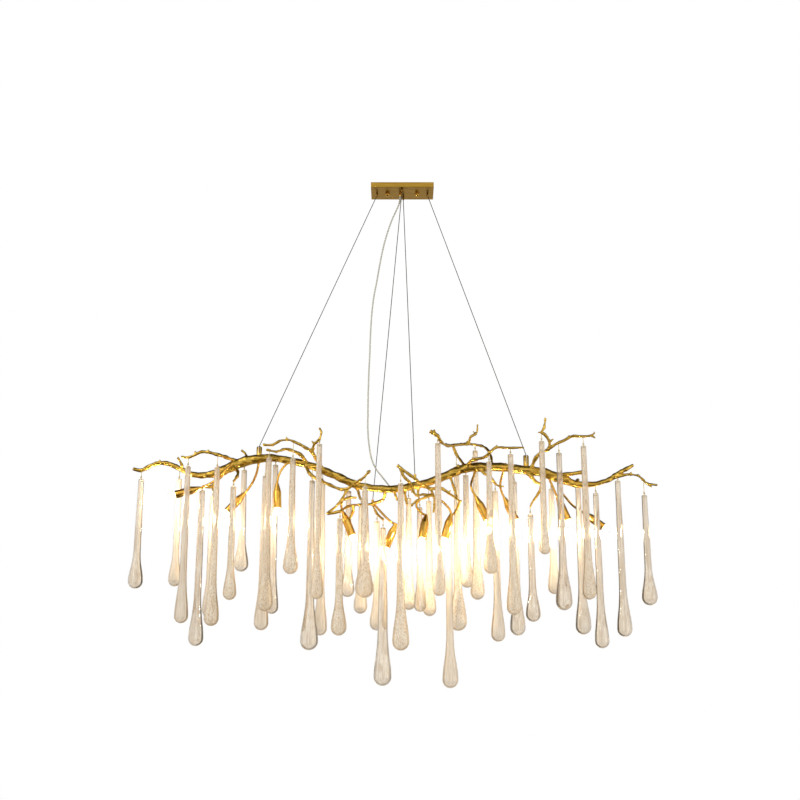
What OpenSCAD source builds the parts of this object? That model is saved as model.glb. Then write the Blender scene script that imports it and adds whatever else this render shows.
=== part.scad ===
// Branch chandelier with hand-blown glass drops, hung from the ceiling on four wires.
// Millimetres. The origin is on the ceiling, at the middle of the canopy, and Z points up.

/* [Overall] */
// Length of the branch from tip to tip
span = 1500; // [1350:10:1700]
// Drop from the ceiling down to the branch's level line
hang = 930; // [800:10:1400]
// Distance between the rows of glass drops, front to back
row = 60; // [56:1:80]

/* [Canopy] */
// Length of the canopy
canopy_l = 190; // [180:5:240]
// Width of the canopy, front to back
canopy_w = 90; // [80:5:120]
// Depth of the canopy below the ceiling
canopy_h = 16; // [15:1:24]
// Thickness of the canopy's sheet metal
sheet = 1.2; // [0.8:0.1:2]
// Thickness of the ceiling bracket
bracket_t = 2; // [1.5:0.1:3]
// Width of the ceiling bracket
bracket_w = 25; // [18:1:30]
// Length of the ceiling bracket
bracket_l = 150; // [140:1:160]
// Distance between the two ceiling screw slots
slot_pitch = 120; // [112:1:124]
// Length of a ceiling screw slot
slot_l = 12; // [8:1:14]
// Width of a ceiling screw slot
slot_w = 5; // [4:0.5:6]
// Distance from the canopy's middle to each stud
stud_x = 45; // [38:1:48]
// Diameter of the studs that carry the canopy
stud_d = 4; // [3:0.5:5]
// Width over the round of a cap nut
nut_d = 13; // [9:0.5:14]
// Height of a cap nut
nut_h = 10; // [8:0.5:14]
// Wall above the blind hole of a cap nut
nut_wall = 2; // [1:0.5:3]

/* [Suspension] */
// Distance from the canopy's middle to each outer wire
wire_x = 77; // [70:1:80]
// Diameter of the steel wires
wire_d = 2; // [1:0.1:2.5]
// Diameter of a wire grip
grip_d = 5.5; // [5:0.5:9]
// Length of a grip below the canopy
grip_l = 11; // [10:1:25]
// Diameter of the cord grip
cord_grip_d = 8; // [7.5:0.5:10]
// Diameter of the supply cord
cord_d = 4.5; // [4:0.1:6]
// Diameter of the posts on the branch that hold the outer wires
post_d = 16; // [12:1:20]
// Length of the barrels that hold the inner wires
barrel_l = 12; // [8:1:18]
// Diameter of those barrels
barrel_d = 8; // [6:0.5:10]
// Width of the fork's slot that takes an outer wire
fork_slot = 4; // [3.5:0.5:5]

/* [Branch] */
// Diameter of the branch where it is thickest
branch_d = 27; // [20:1:30]
// Diameter of a twig where it leaves the branch
twig_d = 10.5; // [8:0.5:13]
// Diameter of a twig at its tip
tip_d = 6.6; // [5:0.1:8]
// Swelling of the branch and twigs at each bend, as a share of their thickness
knuckle = 0.14; // [0:0.01:0.2]

/* [Lamps] */
// Diameter of the bent tubes that carry the lamps
arm_d = 7; // [6:0.5:8]
// Outer diameter of a lamp cup
cup_d = 23; // [20:0.5:25]
// Length of the straight part of a lamp cup
cup_l = 46; // [38:1:50]
// Length of the cone behind a lamp cup
cone_l = 24; // [16:1:26]
// Wall of a lamp cup
cup_wall = 1; // [0.6:0.1:1.4]
// Diameter of the glass lamp capsule
lamp_d = 15; // [12:0.5:17]
// Length of the lamp that stands out of the cup
lamp_out = 18; // [10:1:26]

/* [Glass drops] */
// Length of a short drop
short_l = 315; // [280:5:330]
// Length of a long drop
long_l = 435; // [400:5:450]
// Diameter of a usual drop at its bulb
bulb_d = 42; // [36:0.5:44]
// Diameter of a drop's stem at its middle
stem_d = 20; // [16:0.5:21]
// Diameter of a drop at its flat top
neck_d = 15.5; // [13:0.5:17]
// Distance from the flat top down to the pin
eye = 6; // [5:0.5:8]
// Diameter of the pin that carries a drop
pin_d = 2.6; // [2:0.1:3]
// Clearance round the pin
pin_gap = 0.06; // [0.03:0.01:0.08]
// Diameter of the wire of a hanger's stem and legs
hook_d = 2.2; // [1.6:0.1:2.4]
// Gap between the glass and a hanger's legs
loop_gap = 1.2; // [0.8:0.1:2]

/* [Hidden] */
// The routes were drawn on a branch of this length and thickness; every point of theirs follows the span.
drawn_span = 1500;
drawn_branch_d = 22;
k = span / drawn_span;
twig_r = twig_d / 2;
tip_r = tip_d / 2;
thick = branch_d / drawn_branch_d;
twig_sides = 6;
branch_sides = 12;
cord_sides = 10;

// A route's point is [distance right, rows back, height above the level line].
function place(p) = [p.x * k, p.y * row, p.z * k - hang];
function placed(route) = [for (p = route) place(p)];

// The main branch: [x, height, radius] from the left tip to the right tip.
branch_line = [
    [-772, 55, 3.2], [-750, 50, 4.4], [-732, 58, 4.6], [-706, 71, 4.6], [-678, 72, 5],
    [-655, 63, 5.2], [-623, 49, 5.6], [-600, 38, 6], [-572, 36, 6.8], [-543, 40, 8.5],
    [-515, 49, 11], [-486, 63, 12], [-449, 78, 11.5], [-412, 84, 10], [-378, 87, 9],
    [-335, 81, 8.4], [-292, 72, 8.4], [-249, 59, 9], [-212, 44, 9], [-177, 28, 9],
    [-143, 12, 8.6], [-106, 2, 8], [-63, -3, 8], [-20, -4, 8], [23, 3, 8.4],
    [66, 13, 8.6], [109, 28, 9], [152, 46, 10.4], [180, 57, 10.6], [223, 60, 10.4],
    [280, 60, 10], [323, 55, 10.4], [366, 49, 11], [409, 43, 11], [438, 31, 11],
    [466, 22, 10.4], [495, 10, 8], [543, 9, 6], [571, 16, 5.6], [591, 23, 5.4],
    [606, 34, 5.2], [626, 47, 5], [640, 53, 4.4], [662, 66, 3.2]
];
branch = placed([for (p = branch_line) [p.x, 0, p.y]]);
branch_r = [for (p = branch_line) p.z * thick];

// Twigs of the left half.
left_tip = placed([[-478, 0, 78], [-504, -0.5, 83], [-524, -1, 84], [-547, -1, 89], [-566, -1, 92],
    [-582, -1, 84], [-604, -1, 75], [-625, -1, 78]]);
left_stub = placed([[-632, 0, 54], [-631, -0.1, 64], [-643, -0.3, 85]]);
left_hook = placed([[-451, 0, 80], [-451, 0.3, 97], [-457, 0.4, 107], [-467, 0.4, 115]]);
left_down = placed([[-492, -0.1, 66], [-468, -0.5, 42], [-466, -0.8, 24], [-475, -1, 5]]);
left_low = placed([[-506, 0, 51], [-533, 0.05, 17], [-548, 0, 2], [-571, 0, 4]]);
left_back = placed([[-533, 0.05, 17], [-546, 0.5, 8], [-549, 1, 4]]);
crown = placed([[-222, 0, 49], [-240, -0.3, 68], [-247, -0.4, 80], [-258, -0.7, 96], [-275, -0.8, 106],
    [-293, -1, 114], [-310, -1, 122], [-326, -1, 126], [-348, -1, 123], [-367, -1, 111], [-395, -1, 112]]);
crown_up = placed([[-258, -0.7, 96], [-250, -0.85, 116], [-235, -1, 127], [-230, -1, 148], [-237, -1, 161]]);
crown_low = placed([[-271, 0, 68], [-292, -0.4, 92], [-321, -0.75, 101], [-339, -0.9, 100],
    [-356, -1, 91], [-385, -1, 97]]);
bridge = placed([[-278, -0.05, 66], [-262, -0.32, 34], [-232, -0.37, 16], [-206, -0.42, 3],
    [-175, -0.45, -10], [-151, -0.58, -7], [-131, -0.75, 6], [-118, -0.92, 11], [-105, -1, 21], [-97, -1, 32]]);
// Twigs of the tangle under the middle.
fork_down = placed([[-157, -0.5, -8], [-173, -0.6, -46], [-212, -0.75, -84]]);
cross_low = placed([[-210, -0.8, -84], [-174, -1, -79], [-151, -0.42, -57], [-117, 0.33, -46], [-86, 0.83, -38]]);
cross_mid = placed([[-167, -0.15, -36], [-149, 0, -28], [-131, 0.2, -27]]);
back_low = placed([[-129, 0, -2], [-125, 0.5, -13], [-123, 1.2, -18], [-121, 2, -10]]);
small_low = placed([[-140, -0.2, -53], [-141, 0.1, -68], [-150, 0.1, -88]]);
wire_twig = placed([[-51, 0, -3], [-50, 0.25, -13], [-55, 0.5, -29], [-77, 0.75, -35], [-86, 0.83, -38],
    [-73, 1, -66], [-58, 0.5, -84], [-55, 0, -92]]);
stub_mid = placed([[-25, 0, -4], [-20, -0.05, -22], [-14, -0.1, -39]]);
vee_top = placed([[-14, -1, 52], [-5, -1, 44], [22, -1, 24], [35, -1, 14], [55, -0.75, 1], [77, -0.48, -9],
    [84, -0.57, -22], [90, -0.6, -42], [87, -0.55, -79]]);
vee_low = placed([[-5, -1, 44], [2, -0.97, 22], [22, -0.87, 3], [30, -0.75, -17], [39, -0.67, -31],
    [58, -0.6, -26], [83, -0.58, -28]]);
reed = placed([[50, 0, 10], [77, -0.42, -8], [97, -0.5, -7], [113, -0.5, -9], [131, -0.42, -21],
    [150, -0.42, -34], [161, -0.37, -44], [158, -0.25, -54], [149, -0.08, -72], [131, 0, -88]]);
reed_back = placed([[83, -0.58, -28], [63, -0.63, -36], [40, -0.63, -45], [24, -0.63, -60]]);
drop_stub = placed([[47, 0, 4], [44, 0.05, -16], [49, 0, -36]]);
low_stub = placed([[6, 0, 0], [9, 0, -34], [13, 0, -50]]);
reed_root = placed([[135, 0, 36], [148, -0.25, -7], [156, -0.4, -38]]);
// Twigs of the right half.
arch = placed([[78, -1, 151], [100, -1, 137], [109, -0.83, 123], [128, 0, 123], [154, 0.83, 137],
    [189, 1.67, 151], [217, 2, 154], [236, 1.67, 145], [248, 1, 127], [256, 0.33, 97], [257, 0, 64]]);
arch_tip = placed([[92, -1, 142], [90, -1.1, 154]]);
arch_leg = placed([[147, 0.6, 133], [157, 0.8, 109], [169, 0.58, 87], [177, 0.25, 69], [177, 0, 53]]);
arch_up = placed([[198, 1.78, 151], [202, 1.67, 172], [219, 1.67, 182], [223, 1.67, 195], [224, 1.67, 212]]);
front_rise = placed([[178, 0, 52], [194, -0.33, 72], [206, -0.5, 76], [224, -0.67, 77], [236, -0.83, 80],
    [246, -1, 88], [264, -1, 104], [284, -1, 104], [305, -1, 103], [344, -1, 103]]);
low_right = placed([[222, -0.1, 52], [234, -0.15, 39], [251, -0.1, 29], [266, 0, 11], [280, 0, 4], [291, 0, 4]]);
wing = placed([[367, -0.1, 52], [381, -0.33, 83], [396, -0.53, 96], [411, -0.75, 99], [426, -0.92, 109],
    [442, -1, 117], [468, -1, 130], [485, -1, 137], [512, -1, 135], [537, -1, 139], [546, -1, 147]]);
wing_tip = placed([[535, -1, 139], [546, -1.05, 131]]);
wing_up = placed([[413, -0.78, 100], [418, -0.87, 121], [403, -1, 143], [394, -1, 147], [403, -1, 163],
    [407, -1, 190]]);
cut_stub = placed([[436, 0, 30], [464, -0.15, 36], [514, -0.2, 42]]);
low_hook = placed([[346, -0.05, 48], [366, -0.15, 32], [380, -0.15, 15], [396, -0.13, 6], [387, -0.07, -17],
    [376, 0, -33], [366, 0, -49], [363, 0, -58]]);
right_tip = placed([[586, 0, 22], [600, 0, 25], [615, 0, 31], [637, 0, 37], [652, 0, 38], [674, 0, 35],
    [689, 0, 22], [703, 0, 10], [729, 0, 8]]);
right_fork = placed([[703, 0, 10], [710, -0.1, 0]]);

// Lamps: each arm's route ends where its cup's cone begins; the cup then points along the aim.
arm_routes = [
    placed([[-480, -0.1, 72], [-497, -0.3, 56], [-521, -0.42, 25], [-548, -0.42, 5], [-574, -0.42, -6]]),
    placed([[-412, 0, 80], [-417, 0.13, 50], [-427, 0.25, 24], [-441, 0.33, 2], [-453, 0.33, -13]]),
    placed([[-325, 0, 76], [-343, 0, 58], [-355, 0, 34], [-358, 0, 11]]),
    placed([[-159, -0.33, -10], [-170, -0.17, -36], [-174, 0, -56], [-168, 0, -72]]),
    placed([[-82, 0.83, -39], [-51, 0.75, -74], [-30, 0.67, -94], [-19, 0.67, -98]]),
    placed([[46, -0.63, -44], [38, -0.6, -59], [50, -0.58, -77], [66, -0.58, -86]]),
    placed([[85, -0.58, -35], [111, -0.55, -45], [122, -0.5, -55], [133, -0.5, -68], [137, -0.5, -82]]),
    placed([[211, -0.08, 52], [199, -0.25, 21], [194, -0.42, 1], [199, -0.5, -18], [208, -0.5, -34]]),
    placed([[292, 0.08, 54], [284, 0.33, 30], [281, 0.42, 9], [286, 0.42, -11], [293, 0.42, -26]]),
    placed([[414, 0, 38], [423, 0.05, 19], [432, 0.08, -2], [442, 0.08, -28]]),
    placed([[446, 0.05, 26], [453, 0.42, -2], [472, 0.83, -19], [496, 1.33, -38], [530, 1.75, -54]])
];
arm_aims = [
    [-46, 0, -13], [-34, 0, -38], [2, 0, -50], [26, 0, -66], [-19, 14, -43], [-8, -10, -47],
    [-12, 0, -42], [25, 0, -51], [16, 0, -34], [25, 0, -60], [58, 4, -42]
];

// The point of a route at a fraction of an index, and the point of the branch under an x.
function along(route, i) =
    let (a = min(floor(i), len(route) - 2))
    route[a] + (route[a + 1] - route[a]) * (i - a);
function branch_at(x, a = 0) =
    a >= len(branch) - 2 || branch[a + 1].x >= x * k
        ? branch[a] + (branch[a + 1] - branch[a]) * ((x * k - branch[a].x) / (branch[a + 1].x - branch[a].x))
        : branch_at(x, a + 1);

// A spur is a twig behind the branch that carries one drop: [x, rows back, height over the branch].
spurs = [
    [-649, 1, 10], [-461, 1, 14], [-370, 1, 12], [-232, 1, 2], [-156, 1, 4], [18, 1, 8],
    [78, 2, 6], [325, 1, 8], [432, 1, 6], [510, 1, 24]
];
spur_start = 8;
spur_mid = 0.55;
function spur_end(i) = branch_at(spurs[i].x) + [0, spurs[i].y * row, spurs[i].z * k];
function spur_route(i) =
    let (a = branch_at(spurs[i].x - spur_start), b = spur_end(i), m = a + (b - a) * spur_mid)
    [a, m + [-3, 0, 4], b, b + [4, 7, 3]];

// Drops: [point that it hangs from, length of wire above the glass, length, bulb, stem].
drops = [
    [branch_at(-747), 28, short_l - 5, bulb_d, stem_d],
    [spur_end(0), 34, short_l - 5, bulb_d - 6, stem_d - 2],
    [along(left_tip, 6), 27, long_l, bulb_d - 3, stem_d],
    [along(left_low, 3), 13, long_l, bulb_d, stem_d],
    [along(left_tip, 1.9), 38, long_l + 5, bulb_d, stem_d],
    [along(left_back, 2), 18, short_l + 30, bulb_d - 4, stem_d],
    [along(left_down, 2.9), 16, short_l, bulb_d - 5, stem_d - 2],
    [spur_end(1), 24, short_l - 20, bulb_d, stem_d],
    [branch_at(-392), 52, long_l, bulb_d - 1, stem_d],
    [along(crown_low, 4.7), 21, long_l - 5, bulb_d + 4, stem_d],
    [spur_end(2), 19, long_l - 5, bulb_d - 5, stem_d],
    [along(crown, 5.94), 50, short_l + 10, bulb_d, stem_d],
    [branch_at(-258), 42, long_l + 40, bulb_d + 8, stem_d + 2],
    [along(crown_up, 2), 14, long_l, bulb_d - 5, stem_d - 2],
    [spur_end(3), 25, long_l + 5, bulb_d - 3, stem_d],
    [along(cross_low, 1), 21, short_l + 5, bulb_d + 2, stem_d],
    [spur_end(4), 21, short_l - 10, bulb_d - 2, stem_d],
    [along(bridge, 8), 30, short_l - 5, bulb_d + 10, stem_d + 6],
    [along(back_low, 3), 15, short_l + 5, bulb_d - 2, stem_d],
    [along(wire_twig, 5), 21, short_l - 5, bulb_d - 2, stem_d],
    [along(wire_twig, 7), 24, long_l, bulb_d + 8, stem_d + 8],
    [along(vee_top, 1), 44, long_l + 25, bulb_d + 5, stem_d + 2],
    [spur_end(5), 30, short_l + 5, bulb_d, stem_d],
    [along(drop_stub, 2), 22, short_l - 22, bulb_d - 6, stem_d - 1],
    [spur_end(6), 40, short_l + 20, bulb_d - 2, stem_d],
    [along(arch, 1), 21, long_l - 6, bulb_d - 4, stem_d],
    [along(arch_leg, 1), 38, long_l + 35, bulb_d + 7, stem_d],
    [along(reed, 9), 34, long_l, bulb_d + 3, stem_d],
    [branch_at(181), 21, short_l + 5, bulb_d - 6, stem_d - 2],
    [along(arch, 6), 19, long_l + 5, bulb_d, stem_d],
    [along(front_rise, 4.8), 24, short_l, bulb_d, stem_d],
    [along(low_right, 2.9), 24, long_l - 14, bulb_d - 2, stem_d],
    [along(front_rise, 8), 20, long_l + 13, bulb_d, stem_d],
    [spur_end(7), 34, long_l + 5, bulb_d + 2, stem_d],
    [along(low_hook, 7), 20, short_l - 15, bulb_d, stem_d],
    [along(wing_up, 3), 26, short_l + 5, bulb_d - 8, stem_d - 3],
    [spur_end(8), 32, short_l - 12, bulb_d - 5, stem_d],
    [along(wing, 5), 30, long_l + 4, bulb_d + 4, stem_d],
    [along(wing, 8), 28, long_l - 5, bulb_d - 2, stem_d],
    [spur_end(9), 12, long_l - 5, bulb_d + 3, stem_d],
    [branch_at(551), 28, long_l - 2, bulb_d - 2, stem_d],
    [along(right_tip, 2), 12, long_l + 3, bulb_d, stem_d],
    [along(right_tip, 6), 45, short_l - 5, bulb_d + 2, stem_d]
];
function two_digits(n) = n < 10 ? str("0", n) : str(n);
function drop_name(i) = str("drop_", two_digits(i + 1));
function drop_top(i) = drops[i][0] - [0, 0, drops[i][1] * k];

// The supply cord's route, chosen by hand: straight out of its grip, then down to the branch.
cord_exit = [-6, 1, -canopy_h - grip_l];
cord_points = [
    cord_exit, [-7, 1, -40], [-13, 1, -60], [-32, 2, -105], [-48, 3, -155], [-60, 4, -205],
    [-69, 4, -255], [-77, 4, -305], [-85, 4, -350], [-90, 4, -395], [-93, 4, -440], [-95, 3, -490],
    [-96, 2, -535], [-98, 1, -580], [-99, 0, -625], [-100, 0, -670], [-100, 0, -715], [-100, 0, -760],
    [-96, 0, -805], [-88, 0, -848], [-74, 0, -878], [-54, 0, -904], [-37, 0, -926]
];

// The outer two wires end in the forks of the posts, and the inner two in barrels.
posts = [[-412, 36], [355, 44]];
slot_share = 0.55;
function post_top(i) = branch_at(posts[i][0]) + [0, 0, posts[i][1]];
function fork_floor(i) = post_top(i) - [0, 0, posts[i][1] * slot_share];
barrel_seats = [along(wire_twig, 4), along(vee_top, 3)];
wire_exits = [[-wire_x, 0], [wire_x, 0], [-1, -31], [3, 24]];
grip_bottom = -canopy_h - grip_l;
wire_hold = 4;
// Each wire runs straight to a knee; the outer two then hang down inside their fork to its floor.
knee_rise = 2;
knee_d = wire_d + 0.8;
wire_knees = [for (i = [0, 1]) post_top(i) + [0, 0, knee_rise], for (b = barrel_seats) b + [0, 0, barrel_l - wire_hold]];

// Fits inside the canopy and the lamps.
hole_gap = 0.3;
nut_t = 2.5;
holder_l = 28;
holder_gap = 0.3;

gold = [0.80, 0.60, 0.18];
dark_gold = [0.55, 0.42, 0.12];
steel = [0.62, 0.62, 0.63];
glass = [0.93, 0.88, 0.82, 0.55];

// Vectors and smooth curves.
function unit(v) = v / norm(v);
function bend(a, b, c, d, t) =
    0.5 * (2 * b + (c - a) * t + (2 * a - 5 * b + 4 * c - d) * t * t + (3 * b - a - 3 * c + d) * t * t * t);
function smooth(p, steps) = concat([
    for (i = [0:len(p) - 2])
        let (a = i > 0 ? p[i - 1] : 2 * p[0] - p[1], d = i < len(p) - 2 ? p[i + 2] : 2 * p[i + 1] - p[i])
        for (j = [0:steps - 1]) bend(a, p[i], p[i + 1], d, j / steps)
], [p[len(p) - 1]]);
function tangent(p, i) = unit(p[min(i + 1, len(p) - 1)] - p[max(i - 1, 0)]);
function across(t) = unit(cross(t, abs(t.y) < 0.9 ? [0, 1, 0] : [1, 0, 0]));
function carried(u, t) = unit(u - (u * t) * t);
function sides_of(p) = [
    for (i = 0, u = across(tangent(p, 0)); i < len(p); i = i + 1, u = i < len(p) ? carried(u, tangent(p, i)) : u) u
];

// A round tube along points, with a radius at each point: rings joined by triangles, flat ends.
module tube(p, r, sides) {
    u = sides_of(p);
    n = len(p);
    rings = [
        for (i = [0:n - 1])
            let (v = cross(tangent(p, i), u[i]))
            for (s = [0:sides - 1])
                let (a = 360 * s / sides) p[i] + r[i] * (cos(a) * u[i] + sin(a) * v)
    ];
    skin = [
        for (i = [0:n - 2], s = [0:sides - 1])
            let (a = i * sides + s, b = i * sides + (s + 1) % sides)
            each [[a, b, b + sides], [a, b + sides, a + sides]]
    ];
    start_cap = [for (s = [sides - 1:-1:0]) s];
    end_cap = [for (s = [0:sides - 1]) (n - 1) * sides + s];
    polyhedron(points = rings, faces = [for (f = concat([start_cap], skin, [end_cap])) [for (q = [len(f) - 1:-1:0]) f[q]]]);
}

// A twig tapers from its root to its tip and swells at each bend.
module twig(route, r0 = twig_r, r1 = tip_r, steps = 2) {
    p = smooth(route, steps);
    n = len(p) - 1;
    r = [for (i = [0:n]) (r0 + (r1 - r0) * i / n) * (1 + (i % steps == 0 ? knuckle : -knuckle / 2))];
    tube(p, r, twig_sides);
}

// A bud or a sawn stub: a blunt lump that stands out from a point of the wood.
module bud(at, way, r) {
    hull() {
        translate(at) sphere(r, $fn = 8);
        translate(at + way) sphere(r * 0.62, $fn = 8);
    }
}

// A straight rod between two points.
module rod(a, b, d) {
    v = b - a;
    l = norm(v);
    translate(a) rotate([0, acos(v.z / l), atan2(v.y, v.x)]) cylinder(h = l, d = d, $fn = 32);
}

// Turns the upright child so that its top points along a way.
module aim(at, way) {
    translate(at) rotate([0, acos(way.z / norm(way)), atan2(way.y, way.x)]) children();
}

module ceiling_bracket() {
    color(steel) difference() {
        translate([-bracket_l / 2, -bracket_w / 2, -bracket_t]) cube([bracket_l, bracket_w, bracket_t]);
        for (s = [-1, 1]) translate([s * slot_pitch / 2, 0, -bracket_t - 1]) slot(bracket_t + 2);
    }
}

module slot(h) {
    reach = (slot_l - slot_w) / 2;
    linear_extrude(h) union() {
        for (s = [-1, 1]) translate([s * reach, 0]) circle(d = slot_w, $fn = 48);
        translate([-reach, -slot_w / 2]) square([2 * reach, slot_w]);
    }
}

module bracket_studs() {
    bottom = -canopy_h - nut_h + nut_wall + 1;
    color(steel) for (s = [-1, 1])
        translate([s * stud_x, 0, bottom]) cylinder(h = -bracket_t - bottom, d = stud_d, $fn = 48);
}

module canopy_cover() {
    color(dark_gold) difference() {
        translate([-canopy_l / 2, -canopy_w / 2, -canopy_h]) cube([canopy_l, canopy_w, canopy_h]);
        translate([-canopy_l / 2 + sheet, -canopy_w / 2 + sheet, -canopy_h + sheet])
            cube([canopy_l - 2 * sheet, canopy_w - 2 * sheet, canopy_h]);
        for (s = [-1, 1]) translate([s * stud_x, 0, -canopy_h - 1])
            cylinder(h = sheet + 2, d = stud_d + 2 * hole_gap, $fn = 48);
        for (e = wire_exits) translate([e.x, e.y, -canopy_h - 1])
            cylinder(h = sheet + 2, d = neck(grip_d) + 2 * hole_gap, $fn = 48);
        translate([cord_exit.x, cord_exit.y, -canopy_h - 1])
            cylinder(h = sheet + 2, d = neck(cord_grip_d) + 2 * hole_gap, $fn = 48);
    }
}

// A cap nut: a skirt, a domed end and a blind hole that takes the stud.
module cap_nuts() {
    skirt = nut_h * 0.4;
    color(gold) for (s = [-1, 1]) translate([s * stud_x, 0, -canopy_h]) difference() {
        rotate_extrude($fn = 48) polygon([
            [0, 0], [nut_d / 2, 0], [nut_d / 2, -skirt],
            for (a = [15:15:75]) [nut_d / 2 * cos(a), -skirt - (nut_h - skirt) * sin(a)],
            [0, -nut_h]
        ]);
        translate([0, 0, -nut_h + nut_wall]) cylinder(h = nut_h, d = stud_d, $fn = 48);
    }
}

module terminal_block() {
    block = [34, 18, canopy_h - sheet - bracket_t - 3];
    color("whitesmoke") difference() {
        translate([-block.x / 2, -block.y / 2, -bracket_t - block.z]) cube(block);
        for (x = [-10, 0, 10]) translate([x, 0, -bracket_t - block.z - 1]) cylinder(h = 5, d = 4.2, $fn = 32);
    }
}

// A grip is a barrel below the canopy, a neck through its sheet and a nut inside.
function neck(d) = d * 0.72;
module grip(d) {
    cylinder(h = grip_l - d / 4, d = d, $fn = 40);
    translate([0, 0, grip_l - d / 4]) cylinder(h = d / 4, d1 = d, d2 = d * 0.8, $fn = 40);
    translate([0, 0, -sheet]) cylinder(h = sheet, d = neck(d), $fn = 40);
    translate([0, 0, -sheet - nut_t]) cylinder(h = nut_t, d = d * 1.35, $fn = 6);
}
module wire_grips() {
    color(gold) for (e = wire_exits) translate([e.x, e.y, -canopy_h]) mirror([0, 0, 1]) grip(grip_d);
}
module cord_grip() {
    color(gold) translate([cord_exit.x, cord_exit.y, -canopy_h]) mirror([0, 0, 1]) grip(cord_grip_d);
}

module suspension_wires() {
    color(steel) for (i = [0:3])
        rod([wire_exits[i].x, wire_exits[i].y, grip_bottom + wire_hold], wire_knees[i], wire_d);
    color(steel) for (i = [0, 1]) {
        translate(wire_knees[i]) sphere(d = knee_d);
        rod(wire_knees[i], fork_floor(i) - [0, 0, wire_hold], wire_d);
    }
}

module power_cord() {
    p = smooth(cord_points, 3);
    color([0.9, 0.9, 0.88]) tube(p, [for (q = p) cord_d / 2], cord_sides);
}

// Forked posts stand on the branch for the outer wires; small barrels sit on twigs for the inner ones.
module wire_posts() {
    foot = 5;
    crown_h = 3;
    color(gold) {
        for (i = [0, 1]) difference() {
            h = posts[i][1];
            translate(branch_at(posts[i][0])) rotate_extrude($fn = 48) polygon([
                [0, 0], [post_d * 0.62, 0], [post_d * 0.62, foot], [post_d / 2, foot * 2.4],
                [post_d / 2, h - crown_h], [post_d * 0.36, h], [0, h]
            ]);
            translate(fork_floor(i) - [fork_slot / 2, post_d, 0]) cube([fork_slot, 2 * post_d, h]);
        }
        for (b = barrel_seats) translate(b) cylinder(h = barrel_l, d = barrel_d, $fn = 40);
    }
}

// The main branch, with swellings where twigs were sawn off.
module main_branch() {
    steps = 2;
    p = smooth(branch, steps);
    n = len(branch_r) - 1;
    r = [
        for (i = [0:len(p) - 1])
            let (a = min(floor(i / steps), n - 1), t = i / steps - a)
            (branch_r[a] + (branch_r[a + 1] - branch_r[a]) * t) * (1 + (t == 0 || t == 1 ? knuckle / 2 : -knuckle / 2))
    ];
    color(gold) {
        tube(p, r, branch_sides);
        for (b = branch_buds) bud(branch_at(b[0]), b[1], b[2]);
    }
}
branch_buds = [
    [-700, [4, -3, 9], 4], [-556, [-8, -6, -9], 6], [-520, [-6, -9, 10], 7], [-497, [5, -8, -11], 8],
    [-463, [8, -9, 8], 7], [-430, [-6, -8, -9], 6], [-352, [3, -7, -8], 5.5], [-270, [-4, -5, 10], 5.5],
    [-196, [5, -7, -7], 5.5], [-120, [-4, -6, 8], 5], [38, [5, -5, 9], 5], [128, [4, -8, -7], 6],
    [166, [-6, -6, 11], 7], [236, [5, -9, -8], 6.5], [300, [-5, -7, 10], 6.5], [384, [6, -9, -8], 7],
    [452, [6, -6, 11], 6.5], [480, [-5, -8, -8], 5.5], [606, [3, -3, -8], 4]
];

module twigs() {
    color(gold) {
        for (t = [left_tip, left_down, left_low, crown, crown_low, bridge, reed, arch, front_rise, low_right,
            wing, low_hook]) twig(t);
        for (t = [left_stub, left_hook, left_back, crown_up, fork_down, cross_low, cross_mid, back_low, small_low,
            wire_twig, stub_mid, vee_top, vee_low, reed_back, drop_stub, low_stub, reed_root, arch_leg,
            arch_up, wing_up, right_tip]) twig(t, twig_r * 0.86);
        for (t = [arch_tip, wing_tip, right_fork]) twig(t, tip_r * 1.1, tip_r * 0.8);
        twig(cut_stub, twig_r * 1.2, twig_r);
        for (i = [0:len(spurs) - 1]) twig(spur_route(i));
        for (b = twig_buds) bud(b[0], b[1], b[2]);
    }
}
twig_buds = [
    [along(left_tip, 3), [-2, -3, 7], 4], [along(left_tip, 5), [-4, -2, 6], 3.6], [along(crown, 3), [6, 0, 8], 4],
    [along(crown, 7), [-3, -2, 7], 3.8], [along(crown_up, 1), [-7, 0, 8], 3.4], [along(crown_low, 3), [-3, -3, -6], 3.6],
    [along(bridge, 4), [4, -4, -5], 4], [along(bridge, 6), [-4, -3, 6], 4], [along(bridge, 9), [5, -1, 4], 5.4],
    [along(vee_low, 3), [-5, -2, -5], 3.4], [along(reed, 4), [4, -3, 6], 3.8],
    [along(reed, 6), [6, -2, 2], 3.8], [along(arch, 3), [-3, 0, 7], 3.8], [along(arch, 5), [4, -3, 8], 3.8],
    [along(arch_up, 2), [-8, 0, 7], 3.2], [along(front_rise, 2), [-8, -1, 5], 3.6], [along(front_rise, 6), [3, -2, 7], 3.6],
    [along(wing, 2), [-3, -2, 7], 4], [along(wing, 6), [4, -2, 7], 3.8], [along(wing_up, 3), [-9, 0, 1], 3],
    [along(wing_up, 1), [9, -1, 8], 3.2], [along(low_hook, 3), [6, -2, 2], 3.8], [along(right_tip, 4), [3, -2, 6], 3.6],
    [along(cut_stub, 2), [7, 0, 1], 4.6]
];

module lamp_arms() {
    color(gold) for (a = arm_routes) {
        p = smooth(a, 2);
        tube(p, [for (q = p) arm_d / 2], cord_sides);
    }
}

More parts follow.
